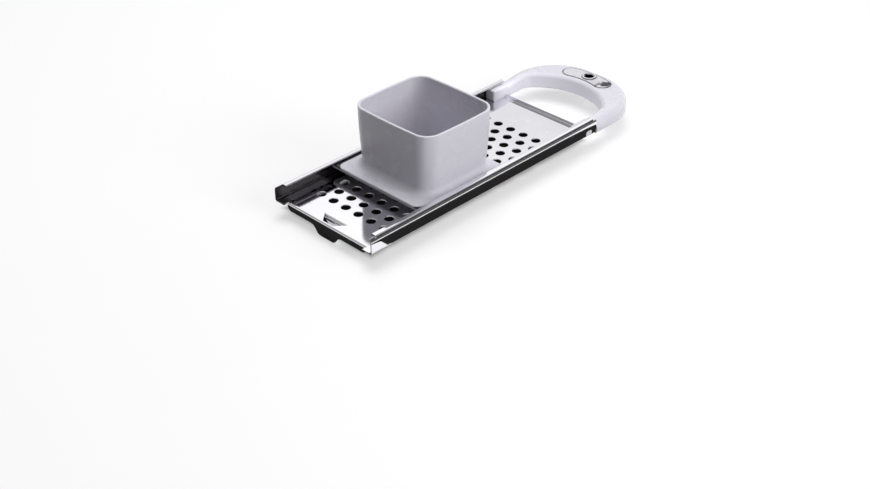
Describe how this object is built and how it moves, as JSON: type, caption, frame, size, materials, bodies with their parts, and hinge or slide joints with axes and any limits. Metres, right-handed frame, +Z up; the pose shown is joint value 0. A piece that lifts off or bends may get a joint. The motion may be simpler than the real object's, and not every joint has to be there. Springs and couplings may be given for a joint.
{
  "type": "spaetzle maker",
  "caption": "Perforated steel tray that lies across a pot, with a square hopper that slides along its rails and a bow-shaped plastic handle with a hanging hole.",
  "frame": {"origin": "middle of the tray's underside, in the plane that lies on the pot's rim", "axes": "+X along the tray towards the handle, +Y to the side, +Z up"},
  "size_m": [0.327, 0.109, 0.0745],
  "materials": {
    "tray_steel": "mirror-polished stainless steel sheet",
    "white_plastic": "white moulded plastic, soft gloss",
    "inlay_steel": "satin stainless steel with a bright bevel"
  },
  "bodies": {
    "tray_with_handle": {"perforated_tray": "tray_steel", "handle": "white_plastic", "handle_inlay": "inlay_steel", "hanging_eyelet": "inlay_steel"},
    "sliding_hopper": {"hopper": "white_plastic"}
  },
  "joints": [
    {"name": "hopper_slide", "type": "slide", "parent": "tray_with_handle", "child": "sliding_hopper", "axis": [1, 0, 0], "range_m": [-0.0495, 0.0873]}
  ]
}
